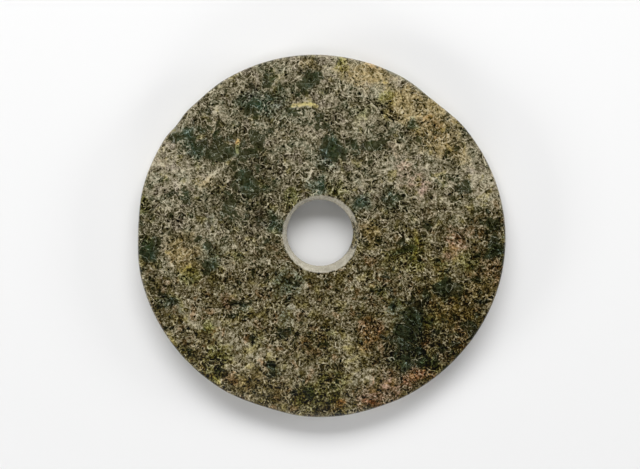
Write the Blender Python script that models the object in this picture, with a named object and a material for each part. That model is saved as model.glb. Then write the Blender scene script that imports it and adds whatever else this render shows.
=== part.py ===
"""Jade bi disc: a flat ring of stone, cut and ground by hand, with one hole drilled from both faces.

Metres, +Z up. The disc lies on its back, its underside on Z = 0 and its outline centred over the origin.
Angles are in degrees, counter-clockwise from +X, as seen from above.
"""

import math

import bpy
import numpy as np

# Outline, seen from above
MEAN_RADIUS = 0.1002
# Each entry: lobes round the rim, how far they stand out, and the direction of the first one
LOBES = (
    (2, 0.00110, -13.5),
    (3, 0.00058, -8.0),
    (4, 0.00025, 6.0),
)
# Each entry: where the rim is ground or chipped flat, half its width in degrees, and its depth
WORN_PLACES = (
    (50.0, 14.0, 0.00148),
    (132.0, 10.0, 0.00060),
    (142.0, 6.0, 0.00100),
    (178.0, 16.0, 0.00103),
    (252.0, 16.0, 0.00096),
    (288.0, 12.0, 0.00037),
)

# Slab
THICKNESS = 0.012
SAW_TAPER = 0.0005
THINNEST_AT = 300.0
RIM_THINNING = 0.0004
THINNED_WIDTH = 0.030

# Rim
RIM_ROUNDING = 0.0019
RIM_FULLNESS = 2.7

# Hole
WAIST_RADIUS = 0.0181
WAIST_DEPTH = 0.0064
WAIST_OFFSET = (0.0, 0.0020)
UPPER_FLARE = 0.0025
UPPER_MOUTH_OFFSET = (0.0006, 0.00115)
LOWER_FLARE = 0.0023
LOWER_MOUTH_OFFSET = (-0.0005, 0.0016)
MOUTH_ROUNDING = 0.0006

# Mesh
SEGMENTS = 144
FACE_STEPS = 5
UNDERSIDE_STEPS = 3
RIM_STEPS = 10
MOUTH_STEPS = 2
SHARP_ANGLE = math.radians(35.0)

# Stone
STONE_COLOUR = (0.112, 0.098, 0.053, 1.0)
STONE_ROUGHNESS = 0.45


def clear_scene():
    """Removes every object that the scene starts with."""
    for item in list(bpy.data.objects):
        bpy.data.objects.remove(item, do_unlink=True)


def directions():
    """Angles round the disc, and the unit vectors that point along them."""
    turn = np.linspace(0.0, 2.0 * math.pi, SEGMENTS, endpoint=False)
    return turn, np.column_stack((np.cos(turn), np.sin(turn)))


def outline_radius(turn):
    """Mean radius plus each lobe's cosine, less a raised cosine where the rim is worn."""
    radius = np.full_like(turn, MEAN_RADIUS)
    for count, height, first in LOBES:
        radius += height * np.cos(count * (turn - math.radians(first)))
    for centre, half_width, depth in WORN_PLACES:
        away = (np.degrees(turn) - centre + 180.0) % 360.0 - 180.0
        reach = np.clip(np.abs(away) / half_width, 0.0, 1.0)
        radius -= depth * (0.5 + 0.5 * np.cos(math.pi * reach))
    return radius


def circle(unit, centre, radius):
    """Points of one circle round the hole."""
    return np.asarray(centre) + radius * unit


def upper_height(points, inset):
    """Upper face's height: it falls evenly towards the thin side, and bends down near the rim."""
    thin = math.radians(THINNEST_AT)
    along = points @ np.array((math.cos(thin), math.sin(thin))) / MEAN_RADIUS
    near_rim = np.clip(1.0 - inset / THINNED_WIDTH, 0.0, 1.0)
    return THICKNESS - SAW_TAPER * (0.5 + 0.5 * along) - RIM_THINNING * near_rim**2


def ring(points, height):
    """One closed loop of points at the given height or heights."""
    return np.column_stack((points, np.broadcast_to(height, len(points))))


def mouth_rings(unit, centre, radius, face_height, side):
    """Quarter-round arris from the cone to the face; side is +1 above and -1 beneath."""
    loops = []
    for quarter in np.linspace(0.0, math.pi / 2.0, MOUTH_STEPS + 1):
        spread = MOUTH_ROUNDING * (1.0 - math.cos(quarter))
        below = MOUTH_ROUNDING * (1.0 - math.sin(quarter))
        points = circle(unit, centre, radius + spread)
        loops.append(ring(points, face_height(points) - side * below))
    return loops


def rim_rings(unit, outline, top):
    """Superellipse from the upper face's edge round the rim to the underside's edge."""
    loops = []
    for angle in np.linspace(math.pi / 2.0, -math.pi / 2.0, RIM_STEPS + 1):
        outwards = abs(math.cos(angle)) ** (2.0 / RIM_FULLNESS)
        upwards = math.copysign(abs(math.sin(angle)) ** (2.0 / RIM_FULLNESS), angle)
        points = unit * (outline - RIM_ROUNDING * (1.0 - outwards))[:, None]
        loops.append(ring(points, 0.5 * top * (1.0 + upwards)))
    return loops


def disc_rings():
    """All loops in order: waist, upper cone, upper face, rim, underside, lower cone."""
    turn, unit = directions()
    outline = outline_radius(turn)
    face_edge = unit * (outline - RIM_ROUNDING)[:, None]
    edge_height = upper_height(face_edge, RIM_ROUNDING)

    def upper(points):
        inset = outline - np.linalg.norm(points, axis=1)
        return upper_height(points, inset)

    def lower(points):
        return np.zeros(len(points))

    waist = circle(unit, WAIST_OFFSET, WAIST_RADIUS)
    loops = [ring(waist, THICKNESS - WAIST_DEPTH)]
    mouth = WAIST_RADIUS + UPPER_FLARE
    loops += mouth_rings(unit, UPPER_MOUTH_OFFSET, mouth, upper, 1.0)
    mouth_edge = loops[-1][:, :2]
    for share in np.linspace(0.0, 1.0, FACE_STEPS + 1)[1:-1]:
        points = mouth_edge + share * (face_edge - mouth_edge)
        loops.append(ring(points, upper(points)))
    loops += rim_rings(unit, outline, edge_height)
    mouth = WAIST_RADIUS + LOWER_FLARE
    beneath = mouth_rings(unit, LOWER_MOUTH_OFFSET, mouth, lower, -1.0)
    mouth_edge = beneath[-1][:, :2]
    for share in np.linspace(0.0, 1.0, UNDERSIDE_STEPS + 1)[1:-1]:
        points = face_edge + share * (mouth_edge - face_edge)
        loops.append(ring(points, lower(points)))
    loops += beneath[::-1]
    return np.array(loops)


def closed_mesh(name, loops):
    """Mesh of quads between each loop and the next, the last loop joined to the first."""
    count, segments = loops.shape[:2]
    loop, step = np.meshgrid(np.arange(count), np.arange(segments), indexing="ij")

    def corner(loop_index, step_index):
        return (loop_index % count) * segments + step_index % segments

    corners = (
        corner(loop, step),
        corner(loop + 1, step),
        corner(loop + 1, step + 1),
        corner(loop, step + 1),
    )
    quads = np.stack(corners, axis=-1).reshape(-1, 4)
    mesh = bpy.data.meshes.new(name)
    mesh.from_pydata(loops.reshape(-1, 3).tolist(), [], quads.tolist())
    mesh.validate()
    mesh.shade_smooth()
    mesh.set_sharp_from_angle(angle=SHARP_ANGLE)
    return mesh


def stone_material():
    """Mottled olive-brown jade, polished but weathered."""
    material = bpy.data.materials.new("jade")
    material.use_nodes = True
    shader = material.node_tree.nodes["Principled BSDF"]
    shader.inputs["Base Color"].default_value = STONE_COLOUR
    shader.inputs["Roughness"].default_value = STONE_ROUGHNESS
    shader.inputs["Metallic"].default_value = 0.0
    material.diffuse_color = STONE_COLOUR
    return material


def make_disc():
    """The one carved piece, moved so that its outline's box is centred over the origin."""
    loops = disc_rings()
    flat = loops[:, :, :2].reshape(-1, 2)
    middle = 0.5 * (flat.min(axis=0) + flat.max(axis=0))
    disc = bpy.data.objects.new("jade_disc", closed_mesh("jade_disc", loops))
    disc.location = (-middle[0], -middle[1], 0.0)
    disc.data.materials.append(stone_material())
    bpy.context.scene.collection.objects.link(disc)
    return disc


def main():
    clear_scene()
    make_disc()


main()
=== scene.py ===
"""A jade bi disc, dressed for its portrait: weathered stone with its stains and chips, in a pale studio."""

import math

import bpy
import numpy as np
from bpy.props import FloatProperty, FloatVectorProperty, IntProperty, PointerProperty
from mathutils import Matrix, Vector


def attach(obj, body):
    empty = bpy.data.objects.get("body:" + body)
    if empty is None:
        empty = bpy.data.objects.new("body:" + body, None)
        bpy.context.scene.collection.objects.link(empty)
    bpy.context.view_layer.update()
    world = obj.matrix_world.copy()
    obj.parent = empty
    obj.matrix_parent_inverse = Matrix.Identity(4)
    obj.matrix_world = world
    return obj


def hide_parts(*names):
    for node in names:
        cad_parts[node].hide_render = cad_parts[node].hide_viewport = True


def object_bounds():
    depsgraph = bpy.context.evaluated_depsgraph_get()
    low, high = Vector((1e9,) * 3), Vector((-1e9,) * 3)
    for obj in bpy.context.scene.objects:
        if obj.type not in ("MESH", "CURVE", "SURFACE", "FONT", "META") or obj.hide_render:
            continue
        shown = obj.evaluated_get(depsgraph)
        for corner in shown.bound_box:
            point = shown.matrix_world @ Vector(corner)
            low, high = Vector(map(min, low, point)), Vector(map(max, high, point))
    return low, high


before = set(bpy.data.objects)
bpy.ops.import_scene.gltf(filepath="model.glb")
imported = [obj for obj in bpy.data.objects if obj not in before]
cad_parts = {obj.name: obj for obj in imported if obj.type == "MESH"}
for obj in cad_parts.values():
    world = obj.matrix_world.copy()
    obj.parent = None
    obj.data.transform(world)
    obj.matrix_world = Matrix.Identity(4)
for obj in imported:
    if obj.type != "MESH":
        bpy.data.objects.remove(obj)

bl_info = {
    "name": "Jade Disc Maker",
    "version": (1, 0, 0),
    "blender": (4, 5, 0),
    "location": "View3D > Sidebar > Jade Disc",
    "description": "Carves a weathered jade disc with a drilled hole, and sets a pale studio round it",
    "category": "Add Mesh",
}

NODE = "jade_disc"
CAD_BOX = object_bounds()
MM = 0.001

# Outline: how many lobes, how far they stand out, and the direction of the first, in degrees
LOBES = (
    (2, 0.00110, -13.5),
    (3, 0.00058, -8.0),
    (4, 0.00025, 6.0),
)
# Outline: where the rim is ground or chipped flat, half its width in degrees, and its depth
WORN_PLACES = (
    (50.0, 14.0, 0.00148),
    (132.0, 10.0, 0.00060),
    (142.0, 6.0, 0.00100),
    (178.0, 16.0, 0.00103),
    (252.0, 16.0, 0.00096),
    (288.0, 12.0, 0.00037),
)
# Slab: fall of the upper face from the thick side to the thin one, and where that is, in degrees
SAW_TAPER = 0.0005
THINNEST_AT = 300.0
RIM_THINNING = 0.0004
THINNED_WIDTH = 0.030
# Hole: places of its waist and its two mouths, from the outline's own centre
WAIST_OFFSET = (0.0, 0.0020)
WAIST_DEPTH = 0.0064
UPPER_MOUTH_OFFSET = (0.0006, 0.00115)
LOWER_MOUTH_OFFSET = (-0.0005, 0.0016)

# Stains, in millimetres from the middle of the disc: x, y, reach, strength
PALE_CRUST = (
    (-90, 42, 9, 0.8), (-79, 34, 9, 0.7), (-66, 32, 8, 0.6), (-57, 30, 5, 0.5), (-97, 30, 7, 0.5),
    (45, 37, 9, 0.6), (36, 30, 7, 0.6), (54, 28, 9, 0.4), (89, 31, 8, 1.0), (82, 42, 8, 0.5),
    (93, 18, 6, 0.6), (66, 16, 8, 0.4), (75, 3, 7, 0.5), (72, -11, 6, 0.5), (24, 60, 9, 0.5),
    (33, 82, 9, 0.9), (47, 76, 9, 0.6), (20, 88, 8, 0.7), (6, 94, 7, 0.7), (62, 66, 7, 0.6),
    (-20, 93, 7, 0.5), (-9, 55, 7, 0.5), (-55, 68, 6, 0.4), (-74, 64, 9, 0.4), (10, 34, 8, 0.3),
    (-84, -20, 9, 0.5), (-70, -12, 8, 0.4), (-69, -45, 9, 0.7), (-85, -49, 7, 0.6), (-52, -55, 8, 0.5),
    (-40, -67, 8, 0.8), (-28, -62, 7, 0.6), (-12, -70, 8, 0.5), (12, -64, 8, 0.9), (20, -78, 8, 0.5),
    (37, -47, 4, 0.6), (-17, -38, 9, 0.4), (-44, -8, 7, 0.4), (-60, 4, 7, 0.4), (62, 44, 8, 0.5),
    (37, -78, 8, 0.6), (-55, -46, 7, 0.5),
)
DARK_GROUND = (
    (-9, 84, 7, 0.6), (-27, 73, 9, 0.3), (-44, 75, 8, 0.4), (-34, 83, 7, 0.3), (-62, 54, 8, 0.8),
    (-55, 47, 7, 1.0), (-40, 45, 8, 1.0), (-30, 40, 7, 0.7), (-42, 27, 8, 1.4), (-52, 20, 8, 0.7),
    (-33, 16, 8, 0.8), (-48, 4, 8, 0.4), (6, 46, 7, 1.2), (4, 58, 6, 0.7), (18, 50, 7, 0.6),
    (31, 50, 5, 0.5), (40, 20, 6, 0.8), (77, 25, 6, 0.8), (94, 6, 7, 0.9), (96, -10, 8, 0.6),
    (50, -4, 6, 0.8), (-95, -9, 7, 1.1), (-98, 14, 5, 0.7), (-62, -20, 6, 0.6), (-88, -36, 6, 0.7),
    (-35, -20, 7, 0.3), (70, -29, 7, 1.1), (58, -34, 8, 0.7), (82, -38, 9, 0.4), (48, -49, 7, 1.3),
    (46, -61, 7, 1.3), (60, -56, 8, 1.0), (76, -55, 9, 1.1), (64, -68, 8, 1.0), (28, -51, 6, 0.9),
    (0, -54, 6, 0.4), (5, -83, 6, 0.4), (40, -70, 6, 0.7), (88, -24, 7, 0.5), (-85, -50, 4, 0.8),
    (-78, -58, 4, 0.8), (-19, -53, 5, 0.7),
)
# Windows of smooth, unaltered stone in the same measure
WINDOWS = (
    (-9, 84, 5, 1.2), (-2, 85, 4, 1.0), (-26, 85, 5, 1.0), (-15, 69, 4, 1.1), (-4, 62, 4, 1.0),
    (7, 48, 6, 1.4), (19, 50, 3.5, 1.0), (27, 49, 3.5, 1.1), (31, 50, 3.5, 1.2), (49, 62, 2.5, 1.1),
    (52, 51, 3, 0.9), (-37, 70, 5, 1.2), (-79, 53, 5, 1.1), (-73, 57, 4.5, 0.9), (-60, 61, 4, 1.1),
    (-68, 48, 4.5, 1.1), (-57, 45, 5, 1.3), (-50, 48, 4, 1.0), (-43, 44, 4, 1.1), (-34, 52, 5, 1.2),
    (-42, 32, 5, 1.3), (-38, 26, 4.5, 1.2), (-75, 21, 4.5, 1.0), (-82, 23, 3.5, 0.9), (-50, 15, 5, 0.9),
    (50, -43, 4.5, 1.2), (47, -51, 4.5, 1.2), (42, -57, 4, 1.2), (64, -29, 4.5, 1.3),
    (68, -25, 3.5, 1.1), (74, -31, 3.5, 1.2), (57, -34, 2.5, 1.1), (53, -40, 3, 1.2), (39, -38, 3, 1.1),
    (45, -70, 3.5, 1.1), (54, -69, 3.5, 1.0), (95, -6, 5, 1.2), (46, -6, 4, 1.0), (30, -29, 4.5, 0.9),
    (82, -51, 4.5, 0.9), (-94, -10, 5, 1.4), (-90, -4, 3, 1.1), (-62, -16, 4.5, 1.1), (-63, -4, 5, 0.8),
    (-82, -36, 4.5, 1.0), (-44, -38, 4.5, 1.1), (-38, -56, 4, 1.0), (-19, -53, 4.5, 1.1),
    (-27, -73, 4, 1.1), (40, 20, 4, 1.1), (78, 26, 5, 1.0), (-2, 27, 4, 0.9), (-26, 7, 4.5, 1.0),
    (21, 18, 3.5, 1.1), (-17, -27, 5, 0.8), (3, 60, 3, 0.9), (-26, 56, 3, 0.9), (93, 5, 4, 0.9),
    (57, 5, 3, 0.8), (-8, -84, 4, 0.8),
)
TEAL = (
    (-7, 82, 7, 0.5), (-28, 72, 10, 0.7), (-42, 74, 8, 0.7), (-68, 48, 6, 0.8), (-73, 57, 6, 0.8),
    (-42, 30, 9, 0.5), (6, 45, 8, 1.2), (-97, -9, 7, 1.0), (66, -27, 6, 0.9), (48, -49, 8, 1.3),
    (46, -66, 8, 1.1), (-2, 27, 7, 0.8), (21, 18, 6, 1.0), (-26, 6, 8, 0.9), (-19, -26, 10, 0.7),
    (50, 62, 2.5, 1.2), (-62, 8, 6, 0.4), (38, 20, 6, 0.6), (-20, -44, 8, 0.4), (78, 25, 6, 0.4),
    (39, -38, 4, 1.0), (-82, -36, 6, 0.7), (-44, -38, 5, 0.7), (-27, -73, 4, 1.0), (-62, -10, 8, 0.6),
    (95, -6, 6, 0.8), (82, -51, 5, 0.6), (55, -67, 5, 0.8),
)
OLIVE = (
    (51, -5, 6, 1.1), (51, -14, 5, 0.9), (80, -14, 6, 0.8), (66, -18, 6, 0.7), (0, -54, 6, 0.7),
    (5, -83, 8, 1.0), (-9, -89, 7, 1.1), (-58, -76, 5, 0.6), (-56, -66, 7, 0.9), (-98, 17, 5, 1.1),
    (8, 26, 5, 0.9), (-17, 22, 4, 1.1), (-28, 12, 5, 0.5), (60, -70, 7, 0.9), (62, -48, 9, 0.6),
    (-73, -21, 6, 0.9), (-96, -4, 5, 0.7), (36, 76, 6, 0.9), (22, 68, 7, 0.5), (-45, -12, 6, 0.5),
    (40, -10, 8, 0.6), (-76, -64, 7, 0.7), (11, 93, 4, 0.8), (-62, -73, 6, 0.9), (-37, -56, 5, 0.6),
    (-60, -52, 5, 0.8), (30, -29, 6, 0.6),
)
OCHRE = (
    (-72, -14, 9, 0.7), (-78, -4, 8, 0.6), (-8, 92, 8, 0.6), (12, 92, 7, 0.6), (29, 88, 7, 0.8),
    (40, 74, 9, 0.8), (27, 3, 7, 1.0), (-62, 28, 6, 0.6), (66, 52, 10, 0.9), (74, -36, 12, 0.6),
    (58, 68, 9, 0.9), (-40, -80, 9, 0.6), (-24, -86, 8, 0.6), (7, -93, 6, 1.0), (22, 90, 6, 0.5),
    (55, -52, 4, 1.2), (62, -37, 4, 1.1), (-10, -60, 5, 0.7), (44, 66, 6, 0.6), (88, -30, 8, 0.5),
    (50, 80, 7, 0.6), (78, 44, 8, 0.6), (52, 58, 6, 0.6), (73, -48, 9, 0.7), (24, -58, 7, 0.6),
    (40, 48, 7, 0.4), (62, -20, 7, 0.5), (-66, -60, 8, 0.4), (78, -64, 8, 0.5), (-86, 40, 6, 0.4),
)
RUST = (
    (58, 61, 4, 0.4), (64, 56, 5, 0.4), (8, -92, 5, 0.6), (57, -60, 3, 1.1), (-47, 50, 2.5, 0.9),
    (58, -78, 4, 1.1), (28, -52, 8, 0.9), (92, -20, 8, 0.6), (27, 92, 5, 0.4), (84, -56, 8, 0.7),
    (32, -92, 4, 0.9), (49, -77, 6, 0.8), (-9, -61, 4, 0.6), (73, -6, 6, 0.5), (66, -84, 6, 0.7),
)
ROSE = (
    (75, -2, 8, 0.7), (72, -11, 6, 0.5), (37, -82, 9, 0.8), (52, -77, 7, 0.8), (26, -88, 7, 0.6),
    (-50, -34, 5, 0.6), (66, -44, 5, 0.4), (44, 38, 9, 0.5), (54, 28, 8, 0.5), (-85, -28, 8, 0.4),
)
# Pale smooth band on the rim: the stone's rind, and on the upper right rim, which faces the key light, a
# painted highlight
RIND_AND_HIGHLIGHT = (
    (38, 91, 4, 0.8), (46, 87, 5, 1.0), (55, 81, 5, 1.0), (63, 75, 5, 1.0), (70, 68, 5, 0.9),
    (34, 92, 4, 0.8), (-82, 57, 3, 0.9), (-98, 13, 3, 0.5), (-99, -12, 3, 0.6), (-78, 58, 5, 0.4),
)
# Where the hole's wall has kept the stone's own colour, in the same measure
DARK_BORE = ((19, 1, 8, 1.0),)
# What each stain or patch multiplies the stone's colour by
GREEN_TINT = (0.72, 0.96, 1.05)
PLUM_TINT = (1.02, 0.92, 1.30)
STRAW_TINT = (1.04, 1.00, 0.60)
UMBER_TINT = (1.16, 0.88, 0.70)
MOSS_TINT = (1.12, 0.98, 0.58)
WINDOW_TINT = (0.82, 1.00, 1.12)
TEAL_TINT = (0.68, 0.95, 1.12)
OLIVE_TINT = (0.86, 0.95, 0.44)
OCHRE_TINT = (1.08, 0.93, 0.60)
RUST_TINT = (1.18, 0.80, 0.60)
ROSE_TINT = (1.16, 0.84, 0.86)
YELLOW_VEIN_TINT = (1.05, 0.98, 0.40)
# Bluish grey tint of the rim band: rind colour, with a painted highlight on the upper right rim
RIND_AND_HIGHLIGHT_TINT = (0.90, 1.00, 1.12)
# Veins in the same measure as the stains: the corners of each one's line
PALE_VEINS = (
    ((-17, 70), (-9, 71.5), (-2, 71), (8, 80)),
    ((-47, 52), (-46, 45), (-50, 41), (-57, 36), (-64, 30)),
    ((-57, -80), (-44, -73), (-32, -67)),
    ((2, 42), (-4, 38), (-9, 30)),
    ((47, 64), (54, 66), (57, 60)),
)
YELLOW_VEINS = (
    ((-16, 71), (-9, 72), (-3, 71)),
    ((-46, 52), (-46, 46)),
    ((51, 3), (52, -4), (50, -12)),
    ((-82, -56), (-80, -59)),
    ((-59, -77), (-56, -80)),
)
DARK_CRACKS = (
    ((-71, -38), (-58, -39.5), (-51, -38), (-46, -36.5)),
    ((17, 86), (23, 79), (29, 72), (33, 67), (41, 63)),
    ((25, 74), (35, 71), (43, 64)),
)


class DiscSizes(bpy.types.PropertyGroup):
    """Sizes of the stone, in metres."""

    mean_radius: FloatProperty(
        name="Mean radius", description="Mean radius of the outline", default=0.1002, unit="LENGTH"
    )
    thickness: FloatProperty(
        name="Thickness", description="Thickness of the slab", default=0.012, unit="LENGTH"
    )
    rim_rounding: FloatProperty(
        name="Rim rounding", description="How far in the rim's rounding starts", default=0.0019, unit="LENGTH"
    )
    rim_fullness: FloatProperty(
        name="Rim fullness", description="Exponent of the rim's superellipse", default=2.7
    )
    waist_radius: FloatProperty(
        name="Waist radius", description="Radius of the hole at its ridge", default=0.0181, unit="LENGTH"
    )
    upper_flare: FloatProperty(
        name="Upper flare", description="Widening of the hole towards the upper face",
        default=0.0025, unit="LENGTH",
    )
    lower_flare: FloatProperty(
        name="Lower flare", description="Widening of the hole towards the underside",
        default=0.0023, unit="LENGTH",
    )
    mouth_rounding: FloatProperty(
        name="Mouth rounding", description="Radius of the hole's two edges", default=0.0006, unit="LENGTH"
    )
    turns: IntProperty(
        name="Steps round", description="Mesh steps round the disc", default=720
    )


class StoneLook(bpy.types.PropertyGroup):
    """Colours and grain of the stone."""

    deep: FloatVectorProperty(
        name="Deep", description="Unaltered stone in the darkest cells", subtype="COLOR",
        default=(0.0108, 0.0088, 0.0003),
    )
    ground: FloatVectorProperty(
        name="Ground", description="Olive stone between the threads", subtype="COLOR",
        default=(0.0580, 0.0490, 0.0195),
    )
    crust: FloatVectorProperty(
        name="Crust", description="Altered stone", subtype="COLOR",
        default=(0.148, 0.129, 0.0745),
    )
    thread: FloatVectorProperty(
        name="Thread", description="Threads of the lace", subtype="COLOR",
        default=(0.288, 0.252, 0.172),
    )
    tip: FloatVectorProperty(
        name="Tip", description="Palest ends of the threads", subtype="COLOR",
        default=(0.530, 0.478, 0.340),
    )
    bore: FloatVectorProperty(
        name="Bore", description="Pale ground wall of the hole", subtype="COLOR",
        default=(0.44, 0.41, 0.33),
    )
    grain: FloatProperty(
        name="Grain", description="Size of the lace's meshes, in millimetres", default=3.4
    )
    roughness: FloatProperty(
        name="Roughness", description="Roughness of the polished ground", default=0.20, subtype="FACTOR"
    )


class StudioLook(bpy.types.PropertyGroup):
    """Floor, lights and camera."""

    floor: FloatVectorProperty(
        name="Floor", description="Colour of the table", subtype="COLOR", default=(0.85, 0.85, 0.85)
    )
    surround: FloatProperty(
        name="Surround", description="Brightness of the pale walls all round", default=1.0
    )
    key: FloatProperty(
        name="Key light", description="Power of the large softbox beyond the top of the view", default=49.0
    )
    low_cards: FloatProperty(
        name="Low cards", description="Power of the strongest low softbox", default=21.5
    )
    high_card: FloatProperty(
        name="High card", description="Power of the small softbox overhead", default=6.5
    )
    lens: FloatProperty(name="Lens", description="Focal length, in millimetres", default=100.0)


def outline_radius(turn, sizes):
    """Mean radius plus each lobe's cosine, less a raised cosine where the rim is worn."""
    radius = np.full_like(turn, sizes.mean_radius)
    for count, height, first in LOBES:
        radius += height * np.cos(count * (turn - math.radians(first)))
    for centre, half_width, depth in WORN_PLACES:
        away = (np.degrees(turn) - centre + 180.0) % 360.0 - 180.0
        reach = np.clip(np.abs(away) / half_width, 0.0, 1.0)
        radius -= depth * (0.5 + 0.5 * np.cos(math.pi * reach))
    return radius


def joined(points, height):
    """Plan positions and heights as one grid of points."""
    height = np.broadcast_to(height, points.shape[:-1])
    return np.concatenate((points, height[..., None]), axis=-1)


def disc_grid(sizes):
    """Closed grid of points: waist, upper cone, upper face, rim, underside, lower cone.

    A cone joins two circles by straight lines, a face joins the hole's edge to the outline's edge by
    straight lines, and the rim is a superellipse as high as the slab.
    """
    turn = np.linspace(0.0, 2.0 * math.pi, sizes.turns, endpoint=False)
    unit = np.stack((np.cos(turn), np.sin(turn)), axis=-1)
    outline = outline_radius(turn, sizes)
    thin = math.radians(THINNEST_AT)
    towards_thin = np.array((math.cos(thin), math.sin(thin)))

    def upper(points):
        along = points @ towards_thin / sizes.mean_radius
        inset = outline - np.linalg.norm(points, axis=-1)
        near_rim = np.clip(1.0 - inset / THINNED_WIDTH, 0.0, 1.0)
        return sizes.thickness - SAW_TAPER * (0.5 + 0.5 * along) - RIM_THINNING * near_rim**2

    def lower(points):
        return np.zeros(points.shape[:-1])

    def mouth(offset, radius, height, side, steps):
        quarter = np.linspace(0.0, math.pi / 2.0, steps)[:, None]
        spread = radius + sizes.mouth_rounding * (1.0 - np.cos(quarter))
        points = np.asarray(offset) + spread[..., None] * unit
        sunk = sizes.mouth_rounding * (1.0 - np.sin(quarter))
        return joined(points, height(points) - side * sunk)

    def between(start, end, steps):
        share = np.linspace(0.0, 1.0, steps + 2)[1:-1, None, None]
        return start + share * (end - start)

    waist = joined(
        np.asarray(WAIST_OFFSET) + sizes.waist_radius * unit, sizes.thickness - WAIST_DEPTH
    )
    above = mouth(UPPER_MOUTH_OFFSET, sizes.waist_radius + sizes.upper_flare, upper, 1.0, 4)
    beneath = mouth(LOWER_MOUTH_OFFSET, sizes.waist_radius + sizes.lower_flare, lower, -1.0, 3)[::-1]
    edge = unit * (outline - sizes.rim_rounding)[:, None]
    edge_height = upper(edge)
    angle = np.linspace(math.pi / 2.0, -math.pi / 2.0, 29)[:, None]
    outwards = np.abs(np.cos(angle)) ** (2.0 / sizes.rim_fullness)
    upwards = np.sign(angle) * np.abs(np.sin(angle)) ** (2.0 / sizes.rim_fullness)
    reach = outline - sizes.rim_rounding * (1.0 - outwards)
    rim = joined(reach[..., None] * unit, 0.5 * edge_height * (1.0 + upwards))
    face_plan = between(above[-1][:, :2], edge, 66)
    base_plan = between(edge, beneath[0][:, :2], 16)
    sections = (
        waist[None],
        between(waist, above[0], 7),
        above,
        joined(face_plan, upper(face_plan)),
        rim,
        joined(base_plan, lower(base_plan)),
        beneath,
        between(beneath[-1], waist, 5),
    )
    return np.concatenate(sections, axis=0)


def waves(points, length, count, seed):
    """Smooth random field from -1 to 1: the sum of many cosines of one wavelength in random directions."""
    draw = np.random.default_rng(seed)
    direction = draw.normal(size=(count, 3))
    direction /= np.linalg.norm(direction, axis=1)[:, None]
    phase = draw.uniform(0.0, 2.0 * math.pi, count)
    stretch = draw.uniform(0.75, 1.3, count)
    total = np.zeros(points.shape[:-1])
    for way, start, factor in zip(direction, phase, stretch):
        total += np.cos(points @ way * (2.0 * math.pi * factor / length) + start)
    return total / math.sqrt(0.5 * count) / 2.0


def grid_normals(grid):
    """Outward unit normals: the cross product of the differences along the two grid directions."""
    along = np.roll(grid, -1, axis=1) - np.roll(grid, 1, axis=1)
    across = np.roll(grid, -1, axis=0) - np.roll(grid, 1, axis=0)
    normal = np.cross(across, along)
    return normal / np.maximum(np.linalg.norm(normal, axis=-1, keepdims=True), 1e-12)


def weathered(grid):
    """The grid pressed inwards along its normals: two waves for uneven grinding, and one clipped for pits."""
    ground_uneven = 0.06 * MM * (1.0 + waves(grid, 34 * MM, 24, 3)) * 0.5
    worn = 0.05 * MM * (1.0 + waves(grid, 9 * MM, 30, 4)) * 0.5
    pits = 0.08 * MM * np.clip(waves(grid, 3.2 * MM, 40, 5) - 0.55, 0.0, 1.0)
    sink = np.maximum(ground_uneven + worn + pits, 0.0)
    return grid - grid_normals(grid) * sink[..., None]


def stained(points, stains):
    """Sum of bell curves, one for each stain, over plan positions in millimetres."""
    total = np.zeros(points.shape[:-1])
    for x, y, reach, strength in stains:
        away = (points[..., 0] - x) ** 2 + (points[..., 1] - y) ** 2
        total += strength * np.exp(-away / reach**2)
    return total


def nearest_vein(plan, lines):
    """Signed distance to the nearest line, and a share that falls from 1 on it to 0 at 3 mm.

    Beside a segment the distance is the cross product with its direction, past an end it is the
    straight distance, and its sign is the side of the segment that the point is on.
    """
    nearest = np.full(plan.shape[:-1], 99.0)
    for corners in lines:
        for start, end in zip(corners, corners[1:]):
            run = np.subtract(end, start)
            length = np.linalg.norm(run)
            offset = plan - np.asarray(start)
            along = offset @ run / length
            across = (offset[..., 0] * run[1] - offset[..., 1] * run[0]) / length
            past = np.maximum(np.maximum(-along, along - length), 0.0)
            signed = np.copysign(np.hypot(across, past), across)
            nearest = np.where(np.abs(signed) < np.abs(nearest), signed, nearest)
    return nearest, np.clip(1.0 - np.abs(nearest) / 3.0, 0.0, 1.0)


def add_layer(mesh, name, channels):
    """Stores four numbers a vertex under this name."""
    layer = mesh.attributes.new(name, "FLOAT_COLOR", "POINT")
    values = np.stack([channel.ravel() for channel in channels], axis=-1)
    layer.data.foreach_set("color", values.astype(np.float32).ravel())


def grid_mesh(name, grid):
    """Mesh of quads on a grid that closes in both directions."""
    rows, steps = grid.shape[:2]
    row, step = np.meshgrid(np.arange(rows), np.arange(steps), indexing="ij")
    next_row, next_step = (row + 1) % rows, (step + 1) % steps
    quads = np.stack(
        (row * steps + step, next_row * steps + step, next_row * steps + next_step, row * steps + next_step),
        axis=-1,
    ).reshape(-1, 4)
    mesh = bpy.data.meshes.new(name)
    mesh.vertices.add(rows * steps)
    mesh.vertices.foreach_set("co", grid.astype(np.float32).ravel())
    mesh.loops.add(quads.size)
    mesh.loops.foreach_set("vertex_index", quads.astype(np.int32).ravel())
    mesh.polygons.add(len(quads))
    mesh.polygons.foreach_set("loop_start", np.arange(0, quads.size, 4, dtype=np.int32))
    mesh.update(calc_edges=True)
    mesh.validate()
    mesh.shade_smooth()
    return mesh


class Value:
    """A number that changes over the surface. Arithmetic on it adds Math nodes."""

    def __init__(self, sheet, socket):
        self.sheet = sheet
        self.socket = socket

    def __add__(self, other):
        return self.sheet.math("ADD", self, other)

    __radd__ = __add__

    def __sub__(self, other):
        return self.sheet.math("SUBTRACT", self, other)

    def __rsub__(self, other):
        return self.sheet.math("SUBTRACT", other, self)

    def __mul__(self, other):
        return self.sheet.math("MULTIPLY", self, other)

    __rmul__ = __mul__

    def __abs__(self):
        return self.sheet.math("ABSOLUTE", self)

    def larger(self, other):
        return self.sheet.math("MAXIMUM", self, other)


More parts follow.
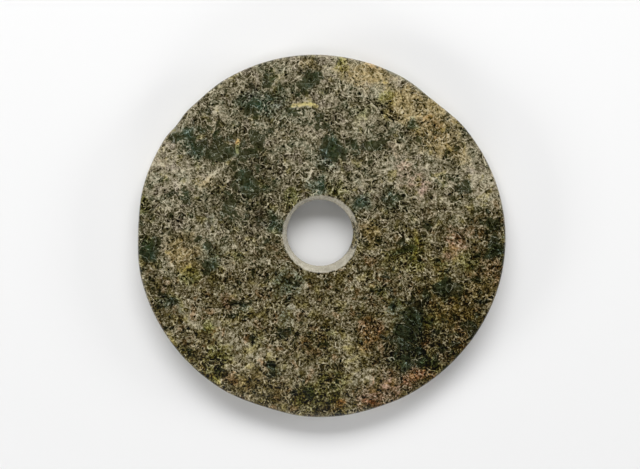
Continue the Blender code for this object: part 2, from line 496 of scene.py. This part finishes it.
class Sheet:
    """A node tree that is written as expressions."""

    def __init__(self, tree):
        self.tree = tree

    def add(self, kind, settings=None, inputs=None):
        """A node of this type, with its settings first and then the values or links of its sockets."""
        node = self.tree.nodes.new(kind)
        for name, value in (settings or {}).items():
            if name == "stops":
                self.set_stops(node.color_ramp, value)
            else:
                setattr(node, name, value)
        for name, value in (inputs or {}).items():
            socket = node.inputs[name]
            value = value.socket if isinstance(value, Value) else value
            if isinstance(value, bpy.types.NodeSocket):
                self.tree.links.new(value, socket)
            else:
                socket.default_value = value
        return node

    @staticmethod
    def set_stops(ramp, stops):
        """Places and colours of a ramp."""
        while len(ramp.elements) < len(stops):
            ramp.elements.new(1.0)
        for element, (place, colour) in zip(ramp.elements, stops):
            element.position = place
            element.color = (*colour, 1.0)

    def math(self, operation, *values):
        node = self.add("ShaderNodeMath", {"operation": operation}, dict(enumerate(values)))
        return Value(self, node.outputs[0])

    def vector(self, operation, *values, scale=None):
        inputs = dict(enumerate(values))
        if scale is not None:
            inputs["Scale"] = scale
        return self.add("ShaderNodeVectorMath", {"operation": operation}, inputs).outputs[0]

    def step(self, value, low, high, first=0.0, last=1.0):
        """Smooth step from first at low to last at high."""
        node = self.add(
            "ShaderNodeMapRange",
            {"interpolation_type": "SMOOTHSTEP"},
            {"Value": value, "From Min": low, "From Max": high, "To Min": first, "To Max": last},
        )
        return Value(self, node.outputs[0])

    def noise(self, place, size, detail=1.0, rough=0.5, seed=0.0):
        """Noise with blotches of about this size, from 0 to 1."""
        moved = self.vector("ADD", place, (seed * 37.7, seed * 91.3, seed * 17.9))
        node = self.add(
            "ShaderNodeTexNoise",
            {},
            {"Vector": moved, "Scale": 1.0 / size, "Detail": detail, "Roughness": rough},
        )
        return Value(self, node.outputs["Fac"])

    def drift(self, place, size, amount, seed=0.0):
        """The place, pushed about by a noise of this size by up to this amount."""
        moved = self.vector("ADD", place, (seed * 53.1, seed * 29.7, seed * 71.3))
        node = self.add(
            "ShaderNodeTexNoise", {}, {"Vector": moved, "Scale": 1.0 / size, "Detail": 1.0}
        )
        centred = self.vector("SUBTRACT", node.outputs["Color"], (0.5, 0.5, 0.5))
        return self.vector("ADD", place, self.vector("SCALE", centred, scale=amount))

    def cells(self, place, size, seed=0.0):
        """Distance to the nearest border between cells of about this size, from 0 up."""
        moved = self.vector("ADD", place, (seed * 13.3, seed * 47.9, seed * 31.1))
        node = self.add(
            "ShaderNodeTexVoronoi",
            {"feature": "DISTANCE_TO_EDGE"},
            {"Vector": moved, "Scale": 1.0 / size},
        )
        return Value(self, node.outputs["Distance"])

    def pores(self, place, size, seed=0.0):
        """Distance to the nearest of scattered points that lie about this far apart, from 0 up."""
        moved = self.vector("ADD", place, (seed * 23.9, seed * 61.3, seed * 5.7))
        node = self.add("ShaderNodeTexVoronoi", {"feature": "F1"}, {"Vector": moved, "Scale": 1.0 / size})
        return Value(self, node.outputs["Distance"])

    def mix(self, first, second, share, blend="MIX"):
        """First colour turned into the second, or multiplied by it, by this share."""
        node = self.add(
            "ShaderNodeMix",
            {"data_type": "RGBA", "blend_type": blend, "clamp_factor": True},
            {0: share, 6: first, 7: (*second, 1.0)},
        )
        return node.outputs[2]

    def tint(self, colour, tint, share):
        """Colour multiplied by the tint, by this share."""
        return self.mix(colour, tint, share, "MULTIPLY")


def threads(sheet, place, size, half_width, seed, detail=1.0):
    """Threads along the curves where a noise passes its middle value."""
    noise = sheet.noise(place, size, detail, 0.55, seed)
    return sheet.step(abs(noise - 0.5), 0.0, half_width, 1.0, 0.0)


def layer_parts(sheet, name):
    """The four numbers of a layer that the mesh holds."""
    layer = sheet.add("ShaderNodeAttribute", {"attribute_name": name})
    parts = sheet.add("ShaderNodeSeparateColor", {}, {0: layer.outputs["Color"]})
    return [Value(sheet, socket) for socket in (*parts.outputs, layer.outputs["Alpha"])]


class Stone:
    """The fields of the weathered stone: patches, lace, tone, colour, relief and gloss."""

    def __init__(self, sheet, look):
        self.sheet = sheet
        self.look = look
        place = sheet.add("ShaderNodeTexCoord").outputs["Object"]
        self.place = sheet.vector("SCALE", place, scale=1.0 / MM)
        self.bent = sheet.drift(self.place, 7.0, 5.0, 1)
        self.frayed = sheet.drift(self.bent, 2.0, 1.0, 2)
        self.olive, self.ochre, self.rust, self.veil = layer_parts(sheet, "warm_stains")
        # Layer of cool stains that also carries the rim band: rind, with a painted highlight on the upper
        # right rim
        self.teal, self.rind, self.rose, self.moss = layer_parts(sheet, "cool_stains")
        self.pale_line, self.yellow_line, self.crack_line, self.window = layer_parts(sheet, "vein_offsets")
        self.pale_near, self.yellow_near, self.crack_near, self.bore = layer_parts(sheet, "vein_shares")
        self.spread_patches()
        self.weave_lace()
        self.draw_veins()
        self.set_level()

    def spread_patches(self):
        """Crust and windows: steps of weighted sums of listed stains and noises of several sizes."""
        sheet, bent, moss, veil = self.sheet, self.bent, self.moss, self.veil
        broad = sheet.noise(bent, 13.0, 5.0, 0.62, 3) - 0.5
        clump = sheet.noise(bent, 4.2, 3.0, 0.6, 4) - 0.5
        blot = sheet.step(clump, -0.09, 0.09) - 0.5
        slanted = sheet.add(
            "ShaderNodeMapping",
            {},
            {"Vector": bent, "Rotation": (0.0, 0.0, math.radians(-32.0)), "Scale": (0.3, 1.2, 1.0)},
        )
        streak = sheet.noise(slanted.outputs[0], 5.0, 2.0, 0.5, 16) - 0.5
        bundle = sheet.step(sheet.cells(self.frayed, 7.0, 14), 0.02, 0.30, 1.0, 0.0) - 0.5
        cover = veil * 1.75 + broad * 1.5 + blot * 0.9 + bundle * (1.0 - moss * 0.7) + streak * moss * 2.6
        smoothness = self.window - veil * 0.4 - broad * 1.1 - clump * 2.2 - bundle * 0.7
        self.glass = sheet.step(smoothness, 0.44, 0.52)
        self.border = sheet.step(abs(smoothness - 0.41), 0.0, 0.06, 1.0, 0.0) * (1.0 - moss * 0.6)
        self.crust = sheet.step(cover, 0.0, 1.4)
        self.cover, self.broad, self.clump = cover, broad, clump

    def weave_lace(self):
        """Pale threads on cell borders and along noise curves, and dark hollows at scattered pores."""
        sheet, bent, frayed, moss, grain = self.sheet, self.bent, self.frayed, self.moss, self.look.grain
        net = sheet.step(sheet.cells(frayed, grain, 5), 0.012, 0.10, 1.0, 0.0)
        net_fine = sheet.step(sheet.cells(frayed, grain * 0.53, 6), 0.03, 0.19, 1.0, 0.0)
        breaks = sheet.noise(bent, 3.0, 1.0, 0.5, 9)
        curls = threads(sheet, frayed, 5.0, 0.013, 7, 2.0)
        fibres = threads(sheet, frayed, 2.6, 0.028, 18, 1.5) * sheet.step(breaks, 0.62, 0.46)
        strands = (net * sheet.step(breaks, 0.35, 0.6)).larger(curls * 0.9).larger(self.border * 0.8)
        strands = strands.larger(fibres * 0.85)
        fuzz = net_fine * sheet.step(breaks, 0.65, 0.4) * (0.5 + moss * 0.1)
        calm = sheet.step(sheet.noise(bent, 9.0, 2.0, 0.5, 17), 0.46, 0.60) * (0.3 + moss * 0.35)
        gleam = sheet.noise(self.place, 1.4, 1.0, 0.5, 15)
        self.lace = strands.larger(fuzz) * (1.0 - calm) * sheet.step(gleam, 0.3, 0.62, 0.55, 1.2)
        hollow = sheet.step(sheet.pores(frayed, 2.0, 8), 0.14, 0.42, 1.0, 0.0)
        self.hollow = hollow * sheet.step(sheet.noise(bent, 1.9, 1.0, 0.5, 10), 0.38, 0.58)
        self.fine = (sheet.noise(self.place, 1.05, 2.0, 0.8, 11) - 0.5) * 1.12 * (1.0 + moss * 0.3)
        self.curls, self.calm = curls, calm

    def vein(self, line, near, core, edge):
        """Vein round a line: full up to core millimetres from it, gone at edge, and ragged by noise."""
        offset = abs(line + self.clump * 4.5 + self.fine * 1.5)
        return self.sheet.step(offset, core, edge, 1.0, 0.0) * self.sheet.step(near, 0.4, 0.7)

    def draw_veins(self):
        """The pale and yellow veins, the dark cracks and the smooth rind of the rim, with a painted highlight
        on the upper right rim.
        """
        self.pale_vein = self.vein(self.pale_line, self.pale_near, 0.2, 0.9)
        self.yellow_vein = self.vein(self.yellow_line, self.yellow_near, 0.4, 1.7)
        self.crack = self.vein(self.crack_line, self.crack_near, 0.1, 0.55)
        # Rim band: rind, with a painted highlight on the upper right rim
        self.smooth_rind = self.sheet.step(self.rind + self.broad + self.clump, 0.35, 0.8)

    def set_level(self):
        """Tone from 0, darkest, to 1: cover, crust and lace raise it, hollows and stains lower it."""
        sheet, lace, crust, calm, glass = self.sheet, self.lace, self.crust, self.calm, self.glass
        moss, clump, fine, rind = self.moss, self.clump, self.fine, self.smooth_rind
        level = 0.205 + self.cover * 0.09 + crust * 0.13 + fine * 1.2
        level = level + lace * (0.58 - crust * 0.18 - moss * 0.05) - self.hollow * 0.44 * (1.0 - calm)
        level = level + clump * 0.3 + calm * (0.08 + crust * 0.1) - moss * 0.02
        level = level - sheet.step(self.olive + self.teal + clump, 0.3, 0.9) * (0.10 - lace * 0.06)
        smooth = 0.255 - moss * 0.09 + fine * 0.45 + clump * 0.5 + self.curls * 0.5
        level = level * (1.0 - glass * 0.9) + smooth * glass * 0.9
        level = level + self.pale_vein * 0.24 + self.yellow_vein * 0.16 - self.crack * 0.4
        # The rim band is lifted towards a pale level: rind, with a painted highlight on the upper right rim
        level = level * (1.0 - rind * 0.75) + rind * 0.41
        self.level = level * 1.14 - 0.052

    def stained(self, colour, stain, tint):
        """Colour tinted where a stain is, with a ragged edge, and less on the threads."""
        share = self.sheet.step(stain + (self.fine * 0.7 + self.clump * 1.2) * 0.6, 0.2, 0.8)
        return self.sheet.tint(colour, tint, share * (1.0 - self.lace * 0.75))

    def colour(self):
        """Ramp over the level, then tints by noise, by patch and by stain, and the pale wall of the hole."""
        sheet, look, moss, lace, glass = self.sheet, self.look, self.moss, self.lace, self.glass
        stops = (
            (0.0, (0.0008, 0.0007, 0.0)),
            (0.1, look.deep),
            (0.3, look.ground),
            (0.5, look.crust),
            (0.7, look.thread),
            (1.0, look.tip),
        )
        colour = sheet.add("ShaderNodeValToRGB", {"stops": stops}, {0: self.level}).outputs[0]

        hue = sheet.noise(self.bent, 7.0, 3.0, 0.6, 12) - 0.5
        other_hue = sheet.noise(self.bent, 6.0, 3.0, 0.6, 13) - 0.5
        bare = 1.0 - lace * 0.7
        shade = sheet.step(self.level, 0.2, 0.55, 1.0, 0.0)
        cool = bare * sheet.step(self.ochre, 0.2, 0.8, 1.0, 0.2) * (0.3 + shade * 0.7)
        straw = sheet.step(other_hue, 0.06 - moss * 0.05, 0.18 - moss * 0.04) * bare
        colour = sheet.tint(colour, GREEN_TINT, sheet.step(hue, 0.02, 0.14) * cool * (1.0 - moss * 0.65))
        colour = sheet.tint(colour, PLUM_TINT, sheet.step(hue, -0.04, -0.16) * cool * (1.0 - moss * 0.6))
        colour = sheet.tint(colour, STRAW_TINT, straw)
        colour = sheet.tint(colour, UMBER_TINT, sheet.step(other_hue, -0.05, -0.16) * bare * moss)
        colour = sheet.tint(colour, MOSS_TINT, moss * (0.05 + shade * 0.85) * (1.0 - glass))
        colour = sheet.tint(colour, WINDOW_TINT, glass * (1.0 - lace * 0.4))

        colour = self.stained(colour, self.teal, TEAL_TINT)
        colour = self.stained(colour, self.olive, OLIVE_TINT)
        colour = self.stained(colour, self.ochre, OCHRE_TINT)
        colour = self.stained(colour, self.rust, RUST_TINT)
        colour = self.stained(colour, self.rose, ROSE_TINT)
        colour = sheet.tint(colour, YELLOW_VEIN_TINT, self.yellow_vein * 0.7)
        # Tint of the rim band: rind colour and painted highlight
        colour = sheet.tint(colour, RIND_AND_HIGHLIGHT_TINT, self.smooth_rind * 0.8)

        bare_bore = sheet.step(self.bore + self.clump * 0.5 + self.fine * 0.5, 0.3, 0.9)
        return sheet.mix(colour, look.bore, bare_bore * (0.8 + self.clump * 0.8))

    def relief(self):
        """Bump from the threads up, the hollows down and the fine grain, fainter on the rim band of rind and
        painted highlight.
        """
        height = (self.lace * 0.4 - self.hollow * 0.6 + self.fine) * (1.0 - self.smooth_rind * 0.7)
        bump = self.sheet.add(
            "ShaderNodeBump", {}, {"Strength": 0.15, "Distance": 0.2 * MM, "Height": height}
        )
        return bump.outputs[0]

    def gloss(self):
        """Roughness that rises from the polished ground to the crust."""
        return self.sheet.step(self.level, 0.2, 0.7, self.look.roughness, self.look.roughness + 0.14)


def stone_material(look):
    """Dark olive stone under a lace of pale threads, stained in broad patches."""
    material = bpy.data.materials.new("weathered_jade")
    material.use_nodes = True
    material.node_tree.nodes.clear()
    sheet = Sheet(material.node_tree)
    stone = Stone(sheet, look)
    shader = sheet.add(
        "ShaderNodeBsdfPrincipled",
        {},
        {
            "Base Color": stone.colour(),
            "Roughness": stone.gloss(),
            "IOR": 1.55,
            "Specular IOR Level": 0.15,
            "Normal": stone.relief(),
        },
    )
    output = sheet.add("ShaderNodeOutputMaterial")
    sheet.tree.links.new(shader.outputs[0], output.inputs[0])
    return material


def lay_stains(mesh, grid, outline_inset, hole_middle):
    """Stores the stains' strengths in the mesh, with edges that wander by a few millimetres.

    The plan is moved by two pairs of waves before the bell curves are read. The crust's veil is pale less
    dark stains and rises towards the top, so the stone is paler there, the moss grows towards the bottom
    right, the rind and its painted highlight keep to the rim, the hole's pale wall ends at its upper mouth
    and its waist, and veins keep to the upper face.
    """
    plan = grid[..., :2] / MM
    height = grid[..., 2] / MM
    sway = np.stack((waves(grid, 26 * MM, 24, 11), waves(grid, 26 * MM, 24, 12)), axis=-1)
    fray = np.stack((waves(grid, 9 * MM, 30, 13), waves(grid, 9 * MM, 30, 14)), axis=-1)
    moved = plan + 2.5 * sway + 2.0 * fray
    # The last term makes the stone paler towards the top (+Y) and darker towards the bottom
    veil = stained(moved, PALE_CRUST) - stained(moved, DARK_GROUND) + 0.15 * moved[..., 1] / 100.0
    moss = np.clip(0.5 - moved[..., 1] / 40.0 + moved[..., 0] / 200.0, 0.0, 1.0)
    # Rim band: the stone's rind, and on the upper right rim a painted highlight where it faces the key light
    rind = stained(moved, RIND_AND_HIGHLIGHT) * np.clip(1.6 - outline_inset / (2.4 * MM), 0.0, 1.0)
    window = stained(plan + 1.0 * fray, WINDOWS)
    pale, pale_share = nearest_vein(plan, PALE_VEINS)
    yellow, yellow_share = nearest_vein(plan, YELLOW_VEINS)
    crack, crack_share = nearest_vein(plan, DARK_CRACKS)
    top = np.clip(height - 8.0, 0.0, 1.0)
    inside_hole = np.clip((22.0 - np.linalg.norm(plan - hole_middle, axis=-1)) / 1.6, 0.0, 1.0)
    above_waist = np.clip((height - 4.6) / 1.5, 0.3, 1.0)
    bore = np.clip(inside_hole - stained(plan, DARK_BORE), 0.0, 1.0) * above_waist
    add_layer(mesh, "warm_stains", (stained(moved, OLIVE), stained(moved, OCHRE), stained(moved, RUST), veil))
    add_layer(mesh, "cool_stains", (stained(moved, TEAL), rind, stained(moved, ROSE), moss))
    add_layer(mesh, "vein_offsets", (pale, yellow, crack, window))
    add_layer(mesh, "vein_shares", (pale_share * top, yellow_share * top, crack_share * top, bore))


class JADE_OT_carve_disc(bpy.types.Operator):
    """Carve the disc and give it its stone"""

    bl_idname = "jade.carve_disc"
    bl_label = "Carve Disc"

    def execute(self, context):
        sizes = context.scene.disc_sizes
        grid = disc_grid(sizes)
        outline_low = grid[..., :2].reshape(-1, 2).min(axis=0)
        outline_high = grid[..., :2].reshape(-1, 2).max(axis=0)
        outline_middle = 0.5 * (outline_low + outline_high)
        grid[..., :2] -= outline_middle
        grid = weathered(grid)
        mesh = grid_mesh("carved_disc", grid)
        plan = grid[..., :2]
        turn = np.arctan2(plan[..., 1], plan[..., 0])
        inset = outline_radius(turn, sizes) - np.linalg.norm(plan, axis=-1)
        lay_stains(mesh, grid, inset, (np.asarray(UPPER_MOUTH_OFFSET) - outline_middle) / MM)
        mesh.materials.append(stone_material(context.scene.stone_look))
        disc = bpy.data.objects.new("carved_disc", mesh)
        context.scene.collection.objects.link(disc)
        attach(disc, "root")
        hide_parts(NODE)
        return {"FINISHED"}


# Studio, in metres
FRAME_PIXELS = (640, 469)
DISC_WIDTH_PIXELS = 367.5
DISC_MIDDLE_PIXEL = (321.75, 235.95)
SENSOR = 36.0
KEY_DISTANCE = 2.0
KEY_AZIMUTH = 91.0
KEY_ELEVATION = 38.0
KEY_WIDTH = 2.5
KEY_HEIGHT = 0.85
LOW_DISTANCE = 2.2
LOW_CARDS = ((5.0, 0.75), (200.0, 1.0), (275.0, 0.65))
LOW_ELEVATION = 15.0
LOW_WIDTH = 0.9
LOW_HEIGHT = 0.4
HIGH_DISTANCE = 2.4
HIGH_AZIMUTH = 260.0
HIGH_ELEVATION = 66.0
HIGH_SIDE = 0.8
TABLE_REACH = 1.3


def aimed(item, target):
    """Turns a light or camera so that it looks at the target."""
    item.rotation_mode = "QUATERNION"
    item.rotation_quaternion = (Vector(target) - item.location).to_track_quat("-Z", "Y")


def outwards(azimuth, elevation):
    """Unit vector: cosine and sine of azimuth times cosine of elevation, and sine of elevation."""
    turn, rise = math.radians(azimuth), math.radians(elevation)
    return Vector((math.cos(turn) * math.cos(rise), math.sin(turn) * math.cos(rise), math.sin(rise)))


def area_light(name, place, width, height, power):
    """A rectangular softbox at place that shines at the middle of the table."""
    light = bpy.data.lights.new(name, "AREA")
    light.shape = "RECTANGLE"
    light.size = width
    light.size_y = height
    light.energy = power
    item = bpy.data.objects.new(name, light)
    item.location = place
    aimed(item, (0, 0, 0))
    bpy.context.scene.collection.objects.link(item)


class JADE_OT_set_studio(bpy.types.Operator):
    """Set the table, the lights and the camera"""

    bl_idname = "jade.set_studio"
    bl_label = "Set Studio"

    def execute(self, context):
        look = context.scene.studio_look
        scene = context.scene
        self.make_floor(look)
        self.make_world(scene, look)
        place = outwards(KEY_AZIMUTH, KEY_ELEVATION) * KEY_DISTANCE
        area_light("key_softbox", place, KEY_WIDTH, KEY_HEIGHT, look.key)
        for azimuth, share in LOW_CARDS:
            place = outwards(azimuth, LOW_ELEVATION) * LOW_DISTANCE
            area_light(f"low_card_{azimuth:.0f}", place, LOW_WIDTH, LOW_HEIGHT, share * look.low_cards)
        place = outwards(HIGH_AZIMUTH, HIGH_ELEVATION) * HIGH_DISTANCE
        area_light("high_card", place, HIGH_SIDE, HIGH_SIDE, look.high_card)
        self.make_camera(scene, look)
        scene.view_settings.view_transform = "Standard"
        scene.view_settings.look = "None"
        return {"FINISHED"}

    @staticmethod
    def make_floor(look):
        """One square of matt paper at the height of the disc's underside."""
        mesh = bpy.data.meshes.new("table")
        reach = TABLE_REACH
        corners = [(-reach, -reach, 0), (reach, -reach, 0), (reach, reach, 0), (-reach, reach, 0)]
        mesh.from_pydata(corners, [], [(0, 1, 2, 3)])
        floor = bpy.data.objects.new("table", mesh)
        material = bpy.data.materials.new("table_paper")
        material.use_nodes = True
        material.node_tree.nodes.clear()
        sheet = Sheet(material.node_tree)
        shader = sheet.add(
            "ShaderNodeBsdfPrincipled",
            {},
            {
                "Base Color": (*look.floor, 1.0),
                "Roughness": 0.9,
                "Specular IOR Level": 0.0,
            },
        )
        output = sheet.add("ShaderNodeOutputMaterial")
        sheet.tree.links.new(shader.outputs[0], output.inputs[0])
        mesh.materials.append(material)
        bpy.context.scene.collection.objects.link(floor)

    @staticmethod
    def make_world(scene, look):
        """Pale walls all round, by two steps over the height of a direction, under a dim ceiling."""
        world = bpy.data.worlds.new("studio_air")
        scene.world = world
        world.use_nodes = True
        world.node_tree.nodes.clear()
        sheet = Sheet(world.node_tree)
        direction = sheet.add("ShaderNodeTexCoord").outputs["Generated"]
        height = Value(sheet, sheet.add("ShaderNodeSeparateXYZ", {}, {0: direction}).outputs[2])
        walls = sheet.step(height, -0.03, 0.08, 0.72, 0.95) * sheet.step(height, 0.10, 0.23, 1.0, 0.15)
        strength = walls * look.surround
        background = sheet.add("ShaderNodeBackground", {}, {"Strength": strength})
        output = sheet.add("ShaderNodeOutputWorld")
        sheet.tree.links.new(background.outputs[0], output.inputs[0])

    @staticmethod
    def make_camera(scene, look):
        """A camera straight above, as far up as makes the disc as wide in the frame as it should be."""
        low, high = CAD_BOX
        metres_a_pixel = (high.x - low.x) / DISC_WIDTH_PIXELS
        camera_data = bpy.data.cameras.new("portrait_camera")
        camera_data.lens = look.lens
        camera_data.sensor_width = SENSOR
        camera = bpy.data.objects.new("portrait_camera", camera_data)
        frame_width = metres_a_pixel * FRAME_PIXELS[0]
        middle = (low + high) / 2.0
        right = (FRAME_PIXELS[0] / 2.0 - DISC_MIDDLE_PIXEL[0]) * metres_a_pixel
        up = (DISC_MIDDLE_PIXEL[1] - FRAME_PIXELS[1] / 2.0) * metres_a_pixel
        target = middle + Vector((right, up, 0.0))
        camera.location = target + Vector((0.0, 0.0, frame_width * look.lens / SENSOR))
        scene.collection.objects.link(camera)
        scene.camera = camera


class JADE_PT_panel(bpy.types.Panel):
    """Sizes and colours of the disc"""

    bl_idname = "JADE_PT_panel"
    bl_label = "Jade Disc"
    bl_space_type = "VIEW_3D"
    bl_region_type = "UI"
    bl_category = "Jade Disc"

    def draw(self, context):
        scene = context.scene
        for group in (scene.disc_sizes, scene.stone_look, scene.studio_look):
            column = self.layout.column()
            for name in group.__annotations__:
                column.prop(group, name)
        self.layout.operator(JADE_OT_carve_disc.bl_idname)
        self.layout.operator(JADE_OT_set_studio.bl_idname)


CLASSES = (DiscSizes, StoneLook, StudioLook, JADE_OT_carve_disc, JADE_OT_set_studio, JADE_PT_panel)


def register():
    for item in CLASSES:
        bpy.utils.register_class(item)
    bpy.types.Scene.disc_sizes = PointerProperty(type=DiscSizes)
    bpy.types.Scene.stone_look = PointerProperty(type=StoneLook)
    bpy.types.Scene.studio_look = PointerProperty(type=StudioLook)


def unregister():
    del bpy.types.Scene.studio_look
    del bpy.types.Scene.stone_look
    del bpy.types.Scene.disc_sizes
    for item in reversed(CLASSES):
        bpy.utils.unregister_class(item)


def main():
    register()
    bpy.ops.jade.carve_disc()
    bpy.ops.jade.set_studio()


if __name__ == "__main__":
    main()
